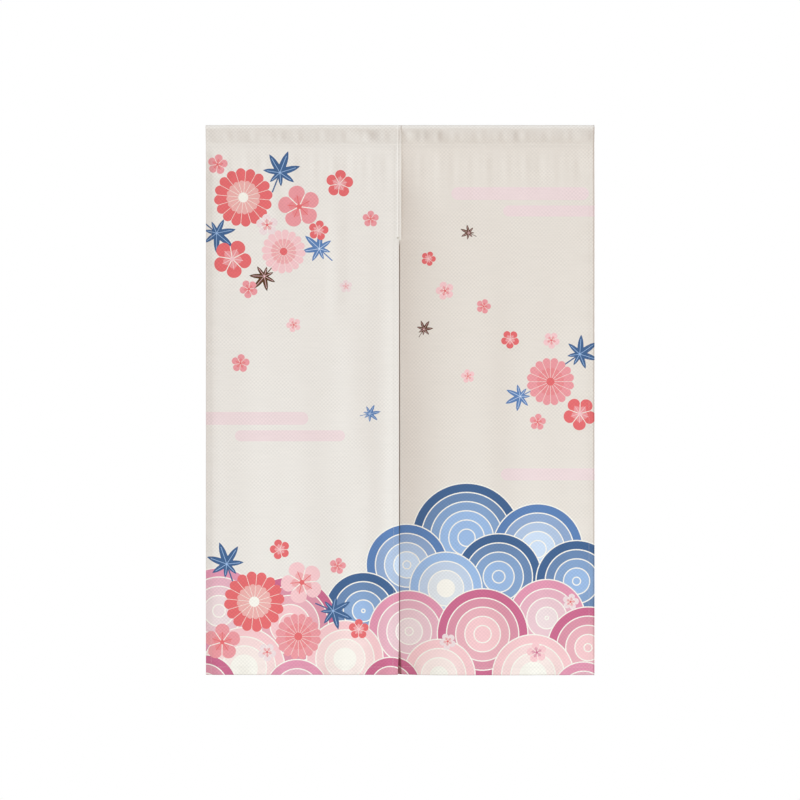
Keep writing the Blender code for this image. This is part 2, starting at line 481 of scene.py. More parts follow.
# A kind's points, waist and roundness, then the reach of its disc, inner petals and veins. One
# that leans has pointed lobes, which shorten towards a stem
Kind = namedtuple("Kind", "points waist round disc inner veins lean")
kinds = {
    "plum": Kind(5, 0.46, 0.40, 0.12, 0.50, 0.56, 0.0),
    "mum": Kind(16, 0.84, 0.55, 0.17, 0.58, 0.0, 0.0),
    "maple": Kind(7, 0.38, 0.80, 0.0, 0.0, 0.80, 0.42),
}
# A motif whose row names no kind is a plum blossom
Motif = namedtuple("Motif", "x drop radius turn petal heart kind", defaults=["plum"])
motifs = {
    "leaf": [
        Motif(-0.262, 0.104, 0.050, 1.2, "navy", "sky", "maple"),
        Motif(-0.400, 0.236, 0.046, -0.7, "navy", "sky", "maple"),
        Motif(-0.176, 0.270, 0.042, 2.4, "blue", "ice", "maple"),
        Motif(-0.296, 0.330, 0.036, 4.0, "brown", "pale", "maple"),
        Motif(0.392, 0.500, 0.046, 0.6, "navy", "sky", "maple"),
        Motif(0.262, 0.592, 0.036, 3.6, "blue", "ice", "maple"),
        Motif(-0.378, 0.958, 0.050, 1.9, "navy", "sky", "maple"),
        Motif(-0.146, 1.060, 0.046, -0.4, "navy", "sky", "maple"),
        Motif(0.052, 0.446, 0.022, 1.0, "brown", "pale", "maple"),
        Motif(0.150, 0.236, 0.020, 2.7, "brown", "pale", "maple"),
        Motif(-0.066, 0.630, 0.024, 0.2, "blue", "ice", "maple"),
    ],
    "large": [
        Motif(-0.342, 0.158, 0.064, 0.1, "coral", "cream", "mum"),
        Motif(-0.220, 0.178, 0.046, 0.5, "pink", "coral"),
        Motif(-0.254, 0.276, 0.048, 0.3, "pale", "coral", "mum"),
        Motif(-0.366, 0.292, 0.042, 1.1, "coral", "pale"),
        Motif(-0.132, 0.128, 0.030, 0.2, "coral", "pale"),
        Motif(0.328, 0.560, 0.052, 0.2, "pink", "coral", "mum"),
        Motif(0.392, 0.630, 0.036, 0.9, "coral", "pale"),
        Motif(-0.318, 1.040, 0.066, 0.1, "coral", "cream", "mum"),
        Motif(-0.214, 0.998, 0.046, 0.7, "pale", "coral"),
        Motif(-0.222, 1.116, 0.050, 0.2, "pink", "coral", "mum"),
        Motif(-0.388, 1.128, 0.040, 0.3, "pink", "coral"),
    ],
    "small": [
        Motif(-0.290, 0.218, 0.024, 0.4, "ghost", "coral"),
        Motif(-0.398, 0.086, 0.022, 1.4, "pink", "coral"),
        Motif(-0.178, 0.230, 0.022, 0.1, "coral", "pale"),
        Motif(-0.330, 0.358, 0.020, 0.8, "pink", "coral"),
        Motif(-0.064, 0.205, 0.018, 0.3, "pink", "coral"),
        Motif(0.062, 0.292, 0.016, 1.2, "coral", "pale"),
        Motif(0.098, 0.362, 0.020, 0.6, "pale", "coral"),
        Motif(0.182, 0.396, 0.016, 0.0, "pink", "coral"),
        Motif(0.240, 0.468, 0.020, 0.9, "coral", "pale"),
        Motif(0.148, 0.548, 0.015, 0.5, "pale", "coral"),
        Motif(0.300, 0.648, 0.018, 0.2, "pink", "coral"),
        Motif(0.330, 0.470, 0.018, 1.0, "pale", "coral"),
        Motif(-0.118, 0.352, 0.014, 0.4, "ghost", "pink"),
        Motif(-0.232, 0.436, 0.016, 0.7, "pale", "coral"),
        Motif(-0.348, 0.520, 0.020, 0.2, "pink", "coral"),
        Motif(-0.262, 0.926, 0.022, 0.6, "coral", "pale"),
        Motif(-0.136, 0.962, 0.018, 0.1, "pink", "coral"),
        Motif(-0.290, 1.150, 0.020, 1.0, "ghost", "coral"),
        Motif(-0.090, 1.100, 0.022, 0.3, "coral", "pale"),
        Motif(0.104, 1.126, 0.018, 0.8, "ghost", "coral"),
        Motif(0.298, 1.150, 0.022, 0.5, "pale", "rose"),
        Motif(0.372, 1.040, 0.018, 0.1, "ghost", "coral"),
    ],
}
# Where no motif is near, and how far past its rim one is still looked up
out_of_reach = (9.0, 9.0, 0.0)
motif_margin = 0.004


def read(items, name, width, kind=np.float32):
    """A value of each of a mesh's items, as an array with rows of that width."""
    values = np.zeros(len(items) * width, dtype=kind)
    items.foreach_get(name, values)
    return values.reshape(-1, width)


def lay_motifs(mesh, flat):
    """Writes each layer's nearest motif on the face corners: its own coordinates and its looks.

    flat holds each vertex's place on the flat cloth, as (x, run).
    """
    corners = read(mesh.loops, "vertex_index", 1, np.int32).reshape(-1, 4)
    middles = flat[corners].mean(axis=1)
    for layer, several in motifs.items():
        nearest = np.full(len(corners), 1.0)
        chosen = np.full(len(corners), -1)
        for number, motif in enumerate(several):
            reach = motif.radius + motif_margin
            distance = np.hypot(middles[:, 0] - motif.x, middles[:, 1] - motif.drop) / reach
            closer = distance < nearest
            nearest[closer] = distance[closer]
            chosen[closer] = number
        place = np.tile(np.array(out_of_reach), (len(corners), 4, 1))
        looks = {name: np.zeros((len(corners), 4, 3)) for name in ("shape", "marks", "petal", "heart")}
        for number, motif in enumerate(several):
            mine = chosen == number
            kind = kinds[motif.kind]
            across = flat[corners[mine]] - (motif.x, motif.drop)
            c, s = math.cos(motif.turn), math.sin(motif.turn)
            place[mine, :, 0] = (c * across[..., 0] - s * across[..., 1]) / motif.radius
            place[mine, :, 1] = (s * across[..., 0] + c * across[..., 1]) / motif.radius
            place[mine, :, 2] = kind.lean
            looks["shape"][mine] = (kind.points, kind.waist, kind.round)
            looks["marks"][mine] = (kind.disc, kind.inner, kind.veins)
            looks["petal"][mine] = dyes[motif.petal][:3]
            looks["heart"][mine] = dyes[motif.heart][:3]
        looks["place"] = place
        for name, values in looks.items():
            attribute = mesh.attributes.new(f"{layer}_{name}", "FLOAT_VECTOR", "CORNER")
            attribute.data.foreach_set("vector", values.reshape(-1).astype(np.float32))


def add(tree, kind, links=(), **settings):
    """Adds a node with its settings and links. A link is a node, a socket or a plain value."""
    node = tree.nodes.new("ShaderNode" + kind)
    for name, value in settings.items():
        setattr(node, name, value)
    pairs = links.items() if isinstance(links, dict) else enumerate(links)
    for key, value in pairs:
        if isinstance(value, bpy.types.Node):
            value = value.outputs[0]
        if isinstance(value, bpy.types.NodeSocket):
            tree.links.new(value, node.inputs[key])
        else:
            node.inputs[key].default_value = value
    return node


def dye_over(tree, mask, under, over):
    """The colour under, with the colour over it where the mask is 1."""
    mixed = add(tree, "Mix", {0: mask, 6: under, 7: over}, data_type="RGBA")
    return mixed.outputs[2]


# In shares of a motif's radius: a stem's half width and length, and clefts and veins at the rim
stem_half = 0.030
stem_length = 0.92
cleft_at_rim = 0.055
vein_at_rim = 0.045
inner_tone = 0.38


def motif_group():
    """A motif's colour and mask from its own coordinates: petals or lobes round a heart."""
    group = bpy.data.node_groups.new("printed motif", "ShaderNodeTree")
    for name in ("place", "shape", "marks", "petal", "heart"):
        group.interface.new_socket(name=name, in_out="INPUT", socket_type="NodeSocketVector")
    group.interface.new_socket(name="colour", in_out="OUTPUT", socket_type="NodeSocketColor")
    group.interface.new_socket(name="mask", in_out="OUTPUT", socket_type="NodeSocketFloat")
    given = group.nodes.new("NodeGroupInput")
    place, shape, marks = (
        add(group, "SeparateXYZ", [given.outputs[n]]) for n in ("place", "shape", "marks")
    )
    is_leaf = add(group, "Math", [place.outputs[2], 0.0], operation="GREATER_THAN")

    across = add(group, "Math", [place.outputs[0], place.outputs[0]], operation="MULTIPLY")
    square = add(group, "Math", [place.outputs[1], place.outputs[1], across], operation="MULTIPLY_ADD")
    radius = add(group, "Math", [square], operation="SQRT")
    angle = add(group, "Math", [place.outputs[1], place.outputs[0]], operation="ARCTAN2")
    half_points = add(group, "Math", [shape.outputs[0], 0.5], operation="MULTIPLY")
    turned = add(group, "Math", [angle, half_points], operation="MULTIPLY")
    on_axis, off_axis = (
        add(group, "Math", [add(group, "Math", [turned], operation=wave)], operation="ABSOLUTE")
        for wave in ("COSINE", "SINE")
    )

    # The outline: round petals or pointed lobes above a waist, shorter on a leaf's stem side
    to_point = add(group, "Math", [1.0, off_axis], operation="SUBTRACT")
    rise = add(group, "Mix", {0: is_leaf, 2: on_axis, 3: to_point})
    rounded = add(group, "Math", [rise, shape.outputs[2]], operation="POWER")
    bulge = add(group, "Math", [1.0, shape.outputs[1]], operation="SUBTRACT")
    outline = add(group, "Math", [rounded, bulge, shape.outputs[1]], operation="MULTIPLY_ADD")
    forward = add(group, "Math", [angle], operation="COSINE")
    behind = add(group, "Math", [forward, -0.5, 0.5], operation="MULTIPLY_ADD")
    leaning = add(group, "Math", [behind, place.outputs[2]], operation="MULTIPLY")
    kept = add(group, "Math", [1.0, leaning], operation="SUBTRACT")
    edge = add(group, "Math", [outline, kept], operation="MULTIPLY")
    inside = add(group, "Math", [radius, edge], operation="LESS_THAN")

    # A leaf's stem
    aside = add(group, "Math", [place.outputs[1]], operation="ABSOLUTE")
    narrow = add(group, "Math", [aside, stem_half], operation="LESS_THAN")
    stem_side = add(group, "Math", [place.outputs[0], 0.0], operation="LESS_THAN")
    short = add(group, "Math", [radius, stem_length], operation="LESS_THAN")
    stem = is_leaf
    for part in (narrow, stem_side, short):
        stem = add(group, "Math", [stem, part], operation="MULTIPLY")
    mask = add(group, "Math", [inside, stem], operation="MAXIMUM")

    # Inner petals in a tone between petal and heart, and cream clefts between the petals
    inner_edge = add(group, "Math", [edge, marks.outputs[1]], operation="MULTIPLY")
    inner = add(group, "Math", [radius, inner_edge], operation="LESS_THAN")
    tone = add(group, "Math", [inner, inner_tone], operation="MULTIPLY")
    colour = dye_over(group, tone, given.outputs["petal"], given.outputs["heart"])
    cleft_width = add(group, "Math", [cleft_at_rim, radius], operation="DIVIDE")
    cleft = add(group, "Math", [on_axis, cleft_width], operation="LESS_THAN")
    flower = add(group, "Math", [1.0, is_leaf], operation="SUBTRACT")
    cleft = add(group, "Math", [cleft, flower], operation="MULTIPLY")
    colour = dye_over(group, cleft, colour, dyes["cream"])

    # Stamens or veins along the axes, and the disc
    vein_width = add(group, "Math", [vein_at_rim, radius], operation="DIVIDE")
    vein = add(group, "Math", [off_axis, vein_width], operation="LESS_THAN")
    vein_end = add(group, "Math", [edge, marks.outputs[2]], operation="MULTIPLY")
    near = add(group, "Math", [radius, vein_end], operation="LESS_THAN")
    veined = add(group, "Math", [vein, near], operation="MULTIPLY")
    colour = dye_over(group, veined, colour, given.outputs["heart"])
    disc = add(group, "Math", [radius, marks.outputs[0]], operation="LESS_THAN")
    colour = dye_over(group, disc, colour, given.outputs["heart"])
    result = group.nodes.new("NodeGroupOutput")
    group.links.new(colour, result.inputs["colour"])
    group.links.new(mask.outputs[0], result.inputs["mask"])
    return group


# Rounded waves in front of each other, from the back to the front: rim and heart dyes
Mound = namedtuple("Mound", "x drop radius rim heart")
mounds = [
    Mound(0.145, 0.900, 0.120, "navy", "sky"),
    Mound(0.300, 0.925, 0.100, "blue", "ice"),
    Mound(0.015, 0.960, 0.090, "blue", "ice"),
    Mound(0.215, 0.985, 0.095, "navy", "sky"),
    Mound(0.385, 0.995, 0.090, "navy", "sky"),
    Mound(0.100, 1.010, 0.080, "sky", "cream"),
    Mound(-0.080, 1.060, 0.085, "navy", "sky"),
    Mound(-0.395, 1.060, 0.095, "mauve", "ghost"),
    Mound(0.320, 1.075, 0.085, "mauve", "ghost"),
    Mound(-0.240, 1.090, 0.105, "rose", "pale"),
    Mound(0.020, 1.105, 0.090, "mauve", "ghost"),
    Mound(0.180, 1.110, 0.100, "rose", "pale"),
    Mound(0.410, 1.140, 0.090, "rose", "pale"),
    Mound(-0.120, 1.165, 0.085, "pale", "cream"),
    Mound(-0.340, 1.185, 0.090, "pale", "cream"),
    Mound(0.085, 1.200, 0.080, "pale", "cream"),
    Mound(0.290, 1.200, 0.090, "pale", "cream"),
    Mound(-0.020, 1.225, 0.065, "rose", "pale"),
    Mound(-0.225, 1.235, 0.070, "mauve", "ghost"),
    Mound(-0.425, 1.225, 0.070, "rose", "pale"),
    Mound(0.400, 1.240, 0.070, "mauve", "ghost"),
]
# A wave's rings: their pitch, the cream line between them and the tones from rim to heart
ring_pitch = 0.020
ring_line = 0.0026
ring_tones = 3

# Long mist bands with round ends
Band = namedtuple("Band", "x drop length height dye")
mist = [
    Band(0.262, 0.150, 0.300, 0.028, "ghost"),
    Band(0.340, 0.188, 0.230, 0.024, "ghost"),
    Band(-0.330, 0.640, 0.260, 0.028, "ghost"),
    Band(-0.240, 0.678, 0.240, 0.024, "ghost"),
    Band(0.330, 0.762, 0.220, 0.026, "ghost"),
]


def print_group():
    """The whole print from the cloth's flat coordinates, as a colour."""
    group = bpy.data.node_groups.new("cloth print", "ShaderNodeTree")
    group.interface.new_socket(name="ground", in_out="INPUT", socket_type="NodeSocketColor")
    group.interface.new_socket(name="flat", in_out="INPUT", socket_type="NodeSocketVector")
    group.interface.new_socket(name="colour", in_out="OUTPUT", socket_type="NodeSocketColor")
    given = group.nodes.new("NodeGroupInput")
    flat = given.outputs["flat"]
    parts = add(group, "SeparateXYZ", [flat])
    colour = given.outputs["ground"]

    for band in mist:
        off = add(group, "Math", [parts.outputs[0], band.x], operation="SUBTRACT")
        far = add(group, "Math", [off], operation="ABSOLUTE")
        past = add(group, "Math", [far, (band.length - band.height) / 2], operation="SUBTRACT")
        beyond = add(group, "Math", [past, 0.0], operation="MAXIMUM")
        down = add(group, "Math", [parts.outputs[1], band.drop], operation="SUBTRACT")
        from_middle = add(group, "CombineXYZ", [beyond, down])
        reach = add(group, "VectorMath", [from_middle], operation="LENGTH")
        inside = add(group, "Math", [reach.outputs[1], band.height / 2], operation="LESS_THAN")
        colour = dye_over(group, inside, colour, dyes[band.dye])

    # The front wave at a place gives its depth inside the rim, and its dyes
    depth = -1.0
    rim = (0.0, 0.0, 0.0, 1.0)
    heart = (0.0, 0.0, 0.0, 1.0)
    for mound in mounds:
        off = add(group, "VectorMath", [flat, (mound.x, mound.drop, 0.0)], operation="DISTANCE")
        into = add(group, "Math", [mound.radius, off.outputs[1]], operation="SUBTRACT")
        inside = add(group, "Math", [into, 0.0], operation="GREATER_THAN")
        rim = dye_over(group, inside, rim, dyes[mound.rim])
        heart = dye_over(group, inside, heart, dyes[mound.heart])
        depth = add(group, "Mix", {0: inside, 2: depth, 3: into}).outputs[0]
    on_mound = add(group, "Math", [depth, 0.0], operation="GREATER_THAN")
    rings = add(group, "Math", [depth, 1 / ring_pitch], operation="MULTIPLY")
    step = add(group, "Math", [rings], operation="FRACT")
    count = add(group, "Math", [rings], operation="FLOOR")
    lighter = add(group, "Math", [count, 1 / ring_tones], operation="MULTIPLY", use_clamp=True)
    ringed = dye_over(group, lighter, rim, heart)
    line = add(group, "Math", [step, ring_line / ring_pitch], operation="LESS_THAN")
    ringed = dye_over(group, line, ringed, dyes["cream"])
    colour = dye_over(group, on_mound, colour, ringed)

    motif = motif_group()
    for layer in motifs:
        drawn = group.nodes.new("ShaderNodeGroup")
        drawn.node_tree = motif
        for name in ("place", "shape", "marks", "petal", "heart"):
            read = add(group, "Attribute", attribute_name=f"{layer}_{name}")
            group.links.new(read.outputs["Vector"], drawn.inputs[name])
        colour = dye_over(group, drawn.outputs["mask"], colour, drawn.outputs["colour"])
    result = group.nodes.new("NodeGroupOutput")
    group.links.new(colour, result.inputs["colour"])
    return group


# The weave's real sizes in millimetres. The threads stand 0.6 mm apart, which doesn't show from a
# step away, so the basket of light and dark cells is drawn at 4.1 mm and single threads at 1.2 mm
weave_cell_mm = 4.1
slub_mm = 5.5
slub_run_mm = 55.0
thread_mm = 1.2
patch_mm = 45.0
mottle_mm = 120.0

# How far each thing lightens or darkens the cloth
cell_tone = 0.075
slub_tone = 0.080
thread_gap_shade = 0.070
mottle_tone = 0.03
# Painted shade for each layer of cloth lying together
layer_shade_tone = -0.028
plain_tone = 0.955
# How high a cell and a slub stand against a thread
cell_relief = 0.25
slub_relief = 1.2


def cell_sines(tree, parts, cell_mm):
    """Sines across and along the cloth, with half a turn for each cell."""
    sines = []
    for place in (parts.outputs[0], parts.outputs[1]):
        turned = add(tree, "Math", [place, math.pi / cell_mm], operation="MULTIPLY")
        sines.append(add(tree, "Math", [turned], operation="SINE"))
    return sines


def printed_cloth():
    """Plain-weave linen-look polyester, printed: matt, slubby and a little uneven in tone."""
    material = bpy.data.materials.new("printed linen-look polyester")
    material.use_nodes = True
    tree = material.node_tree
    tree.nodes.clear()
    flat = add(tree, "UVMap", uv_map="cloth")
    flat_mm = add(tree, "VectorMath", {0: flat, 3: 1000.0}, operation="SCALE")
    parts = add(tree, "SeparateXYZ", [flat_mm])

    # The basket: cells across times cells along, stronger in some patches than in others
    basket = add(tree, "Math", cell_sines(tree, parts, weave_cell_mm), operation="MULTIPLY")
    patches = add(tree, "TexNoise", {"Vector": flat_mm, "Scale": 1 / patch_mm, "Detail": 1.0})
    patch = add(
        tree,
        "MapRange",
        {"Value": patches, "From Min": 0.35, "From Max": 0.62, "To Min": 0.25, "To Max": 1.0},
    )
    cells = add(tree, "Math", [basket, patch], operation="MULTIPLY")

    # Slubs: thicker weft threads that come and go
    slub_scale = (1 / slub_run_mm, 2 / slub_mm, 1.0)
    slub_place = add(tree, "Mapping", {"Vector": flat_mm, "Scale": slub_scale})
    slubs = add(tree, "TexNoise", {"Vector": slub_place, "Scale": 1.0, "Detail": 2.0})
    slub = add(tree, "Math", [slubs, -0.5], operation="ADD")

    # Single threads: rounded ridges, the warp over the weft in every other cell. Their heights also
    # paint shade into the colour, darker in the gaps
    warp, weft = cell_sines(tree, parts, thread_mm)
    crossing = add(tree, "Math", [warp, weft], operation="MULTIPLY")
    warp_over = add(tree, "Math", [crossing, 0.0], operation="GREATER_THAN")
    warp_ridge = add(tree, "Math", [warp], operation="ABSOLUTE")
    weft_ridge = add(tree, "Math", [weft], operation="ABSOLUTE")
    threads = add(tree, "Mix", {0: warp_over, 2: weft_ridge, 3: warp_ridge})

    mottle = add(tree, "TexNoise", {"Vector": flat_mm, "Scale": 1 / mottle_mm, "Detail": 3.0})
    # Painted shade where layers lie together, and in pleats, on the lap and along folded edges
    layers = add(tree, "Attribute", attribute_name="layers")
    shade = plain_tone - mottle_tone / 2
    tones = [
        (cells, cell_tone),
        (slub, slub_tone),
        (threads, thread_gap_shade),
        (mottle, mottle_tone),
        (layers.outputs["Fac"], layer_shade_tone),
    ]
    for source, tone in tones:
        shade = add(tree, "Math", [source, tone, shade], operation="MULTIPLY_ADD")

    # Painted shade: the right length's ground is darker and warmer below its heading
    right_painted_shade = add(tree, "Attribute", attribute_name="right_painted_shade")
    cool = linear("#E9E2DB")
    warm_shade = linear("#E5DCD3")
    ground = dye_over(tree, right_painted_shade.outputs["Fac"], cool, warm_shade)
    drawn = tree.nodes.new("ShaderNodeGroup")
    drawn.node_tree = print_group()
    tree.links.new(ground, drawn.inputs["ground"])
    tree.links.new(flat.outputs[0], drawn.inputs["flat"])
    shows = add(tree, "Attribute", attribute_name="print_shows")
    dyed = dye_over(tree, shows.outputs["Fac"], ground, drawn.outputs[0])
    woven = add(tree, "VectorMath", {0: dyed, 3: shade}, operation="SCALE")

    relief = add(tree, "Math", [cells, cell_relief, threads], operation="MULTIPLY_ADD")
    relief = add(tree, "Math", [slub, slub_relief, relief], operation="MULTIPLY_ADD")
    bump = add(tree, "Bump", {"Height": relief, "Strength": 0.35, "Distance": 0.0002})
    cloth = add(
        tree,
        "BsdfPrincipled",
        {
            "Base Color": woven.outputs[0],
            "Roughness": 0.88,
            "Sheen Weight": 0.12,
            "Sheen Roughness": 0.5,
            "Specular IOR Level": 0.3,
            "Normal": bump,
        },
    )
    add(tree, "OutputMaterial", [cloth])
    return material


# The painted shade on the right length comes in over this far below the top, and the print shows this
# much through to the back
shade_fade_in = 0.045
show_through = 0.45

# Painted layer shade at the foot hem, and how softly a hem's layers end
foot_layer_shade = 0.5
hem_ease = 0.002
# The right panel's outer hem faces the light, so that it gets less painted layer shade
outer_layer_shade = {"left": 1.0, "right": 0.2}


def cloth_piece(name, side, material):
    """One length of cloth as it hangs: a grid laid on its folds, thicker at its hems."""
    columns = cloth_columns(side)
    across, down = len(columns) - 1, len(rows) - 1
    bpy.ops.mesh.primitive_grid_add(x_subdivisions=across, y_subdivisions=down, size=2)
    piece = bpy.context.object
    piece.name = name
    mesh = piece.data
    mesh.name = name
    while mesh.uv_layers:
        mesh.uv_layers.remove(mesh.uv_layers[0])
    grid = read(mesh.vertices, "co", 3)
    column = np.rint((grid[:, 0] + 1) / 2 * across).astype(int)
    line = np.rint((grid[:, 1] + 1) / 2 * down).astype(int)
    x = np.array(columns)[column]
    row = {field: values[line] for field, values in row_values.items()}
    placed = np.stack(hang(side, x, row), axis=1)
    mesh.vertices.foreach_set("co", placed.reshape(-1).astype(np.float32))
    flat = np.stack([x, row["run"]], axis=1)

    corners = read(mesh.loops, "vertex_index", 1, np.int32)
    uv = mesh.uv_layers.new(name="cloth")
    uv.uv.foreach_set("vector", flat[corners].reshape(-1).astype(np.float32))
    lay_motifs(mesh, flat)

    # Painted shade: where more than one layer lies together, less light comes through the cloth, so the
    # colour is darkened there
    outer = x - left_edge if side == "left" else right_edge - x
    inner = slit_left - x if side == "left" else x - (slit_right - lap)
    from_foot = foot_drop - row["run"]
    soft_from = side_hem - hem_ease
    at_outer = 1 - soft_step(outer, soft_from, side_hem + 2 * hem_ease)
    at_inner = 1 - soft_step(inner, soft_from, side_hem + hem_ease)
    at_foot = 1 - soft_step(from_foot, foot_hem, foot_hem + hem_ease)
    at_top = 1 - soft_step(row["drop"], pocket_drop, allowance_drop + hem_ease)
    lying = [outer_layer_shade[side] * at_outer, at_inner, foot_layer_shade * at_foot, at_top]
    layer_shade = np.maximum.reduce(lying)
    # Painted shade in the pleats of the pocket's front
    layer_shade = layer_shade + row["slack"] * (row["out_y"] < 0) * pleat_painted_shade(side, x)
    if side == "right":
        # Painted shade on the right panel's lap, which darkens the slit between the panels
        layer_shade = layer_shade + lap_painted_shade * (x < slit_right)
    # Painted shade along each hem's folded edge, at the outer side and at the foot
    layer_shade = layer_shade + fold_edge_shade * np.maximum(1 - outer / fold_line, 0.0)
    layer_shade = layer_shade + foot_edge_shade * np.clip(1 - from_foot / fold_line, 0.0, 1.0)
    layers = mesh.attributes.new("layers", "FLOAT", "POINT")
    layers.data.foreach_set("value", layer_shade.astype(np.float32))
    # Painted shade: the right length is darker and warmer than the left, but for its heading
    right_painted_shade = mesh.attributes.new("right_painted_shade", "FLOAT", "POINT")
    warm_shade = soft_step(row["drop"], 0.0, shade_fade_in) * (side == "right")
    right_painted_shade.data.foreach_set("value", warm_shade.astype(np.float32))

    tolerance = 1e-6
    hemmed = (outer <= side_hem + tolerance) | (inner <= side_hem + tolerance)
    on_foot_hem = row["run"] >= foot_drop - foot_hem - tolerance
    weight = np.where(hemmed | on_foot_hem, 1.0, 0.0)
    turned_in = (row["pressed"] > 0.5) & (row["out_y"] > 0) & ~hemmed
    weight[turned_in] = (allowance_thick - cloth_thick) / (hem_thick - cloth_thick)
    hem = piece.vertex_groups.new(name="hem")
    for value in np.unique(weight):
        hem.add([int(i) for i in np.nonzero(weight == value)[0]], float(value), "REPLACE")
    layer = piece.modifiers.new("layer", "SOLIDIFY")
    layer.thickness = hem_thick
    layer.thickness_vertex_group = cloth_thick / hem_thick
    layer.vertex_group = hem.name
    layer.offset = -1.0
    faces = len(mesh.polygons)
    bpy.ops.object.modifier_apply(modifier=layer.name)

    # The print shows through faintly at the back, and in full where a hem turns the face over
    mesh = piece.data
    shows = mesh.attributes.new("print_shows", "FLOAT", "FACE")
    strength = np.ones(len(mesh.polygons), dtype=np.float32)
    corner_uv = read(mesh.uv_layers["cloth"].uv, "vector", 2)
    middle = corner_uv.reshape(-1, 4, 2)[:2 * faces].mean(axis=1)[faces:]
    on_hem = (middle[:, 0] - left_edge < side_hem) | (right_edge - middle[:, 0] < side_hem)
    on_hem |= middle[:, 1] > foot_drop - foot_hem
    strength[faces:2 * faces] = np.where(on_hem, 1.0, show_through)
    shows.data.foreach_set("value", strength)
    bpy.ops.object.shade_smooth_by_angle(angle=math.radians(40))
    mesh.materials.append(material)
    piece.select_set(False)
    return piece


cloth_material = printed_cloth()
for side, finished_width in (("left", slit_left - left_edge), ("right", right_edge - slit_right + lap)):
    cloth = cloth_piece(f"{side}_cloth", side, cloth_material)
    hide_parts(f"{side}_panel", f"{side}_rod_pocket")
    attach(cloth, "root")


# Pocket stitching
# A row of lockstitch in cream polyester thread along the foot of each rod pocket, through the
# panel and the turned-down edge, so it shows on both faces.
stitch_pitch = 0.0032
stitch_length = 0.0027
stitch_thick = 0.00042
stitch_slant = math.radians(5)
stitch_lift = 0.00006


def stitch_row(count, length=stitch_length, pitch=stitch_pitch, slant=stitch_slant):
    """A flat row of stitches along X: spindles of thread, each a little aslant."""
    bpy.ops.mesh.primitive_uv_sphere_add(
        segments=6,
        ring_count=4,
        radius=0.5,
        rotation=(0.0, math.pi / 2, slant),
        scale=(stitch_thick, stitch_thick, length),
    )
    row = bpy.context.object
    bpy.ops.object.transform_apply(location=True, rotation=True, scale=True)
    repeat = row.modifiers.new("repeat", "ARRAY")
    repeat.use_relative_offset = False
    repeat.use_constant_offset = True
    repeat.constant_offset_displace = (pitch, 0.0, 0.0)
    repeat.count = count
    bpy.ops.object.modifier_apply(modifier=repeat.name)
    bpy.ops.object.shade_smooth()
    return row


def on_cloth(side, x, run):
    """Places of the cloth's face at any flat x and run."""
    return np.stack(hang(side, x, row_at(run)), axis=1)


def lay_row(row, side, start, down=False, under=0.0):
    """Lays a flat row of stitches on a panel's face from start, or under its face by a thickness."""
    mesh = row.data
    points = read(mesh.vertices, "co", 3).astype(float)
    x, run = start
    if down:
        x, run = x + points[:, 1], run + points[:, 0]
    else:
        x, run = x + points[:, 0], run - points[:, 1]
    step = 1e-4
    here = on_cloth(side, x, run)
    across = on_cloth(side, x + step, run) - here
    along = on_cloth(side, x, run + step) - here
    outward = np.cross(along, across)
    outward /= np.linalg.norm(outward, axis=1, keepdims=True)
    lift = -under - stitch_lift if under else stitch_lift
    laid = here + outward * (points[:, 2] + lift)[:, None]
    mesh.vertices.foreach_set("co", laid.reshape(-1).astype(np.float32))
    mesh.update()
    return row


def sewing(name, laid_rows, material):
    """Joins laid rows of stitches into one piece."""
    bpy.ops.object.select_all(action="DESELECT")
    for row in laid_rows:
        row.select_set(True)
    bpy.context.view_layer.objects.active = laid_rows[0]
    bpy.ops.object.join()
    piece = bpy.context.object
    piece.name = name
    piece.data.name = name
    piece.data.materials.clear()
    piece.data.materials.append(material)
    piece.select_set(False)
    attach(piece, "root")
    return piece


# Spun polyester thread is smoother than the cloth, with a little sheen and slight unevenness
thread_uneven_mm = 6.0
thread_material = bpy.data.materials.new("spun polyester thread")
thread_material.use_nodes = True
tree = thread_material.node_tree
tree.nodes.clear()
place = add(tree, "TexCoord")
uneven = add(tree, "TexNoise", {"Vector": place.outputs["Object"], "Scale": 1000 / thread_uneven_mm})
tone = dye_over(tree, uneven, linear("#D6CDC2"), linear("#E2DBD1"))
thread = add(
    tree,
    "BsdfPrincipled",
    {"Base Color": tone, "Roughness": 0.55, "Sheen Weight": 0.2, "Specular IOR Level": 0.4},
)
add(tree, "OutputMaterial", [thread])

pocket_rows = []
# A row starts or ends this far inside a panel's outer edge, and this far to the right of the slit
row_inset = 0.002
past_slit = {"left": 0.001, "right": 0.004}
panel_spans = {
    "left": (left_edge + row_inset, slit_left + past_slit["left"]),
    "right": (slit_right + past_slit["right"], right_edge - row_inset),
}
for side, (start, end) in panel_spans.items():
    count = int((end - start) / stitch_pitch)
    pocket_rows.append(lay_row(stitch_row(count), side, (start, stitch_drop)))
    pocket_rows.append(lay_row(stitch_row(count), side, (start, back_stitch_run)))
sewing("pocket_stitching", pocket_rows, thread_material)


# Hem stitching
# The same thread down both side hems of each panel and along both foot hems, near the turned
# edge, showing on the face and on the back.
hem_rows = []
hem_inset = 0.003
lap_stitch = 0.0016
side_lines = {
    "left": (left_edge + side_stitch, slit_left - side_stitch),
    "right": (slit_right - lap_stitch, right_edge - side_stitch),
}
hem_start = pocket_drop + hem_inset
hem_count = int((foot_drop - hem_inset - hem_start) / stitch_pitch)
for side, lines in side_lines.items():
    for x in lines:
        top = (x, hem_start)
        for under in (0.0, hem_thick):
            stitches = stitch_row(hem_count)
            hem_rows.append(lay_row(stitches, side, top, down=True, under=under))
    start, end = panel_spans[side]
    count = int((end - start) / stitch_pitch)
    for under in (0.0, hem_thick):
        stitches = stitch_row(count)
        start_at = (start, foot_drop - foot_stitch)
        hem_rows.append(lay_row(stitches, side, start_at, under=under))
sewing("hem_stitching", hem_rows, thread_material)


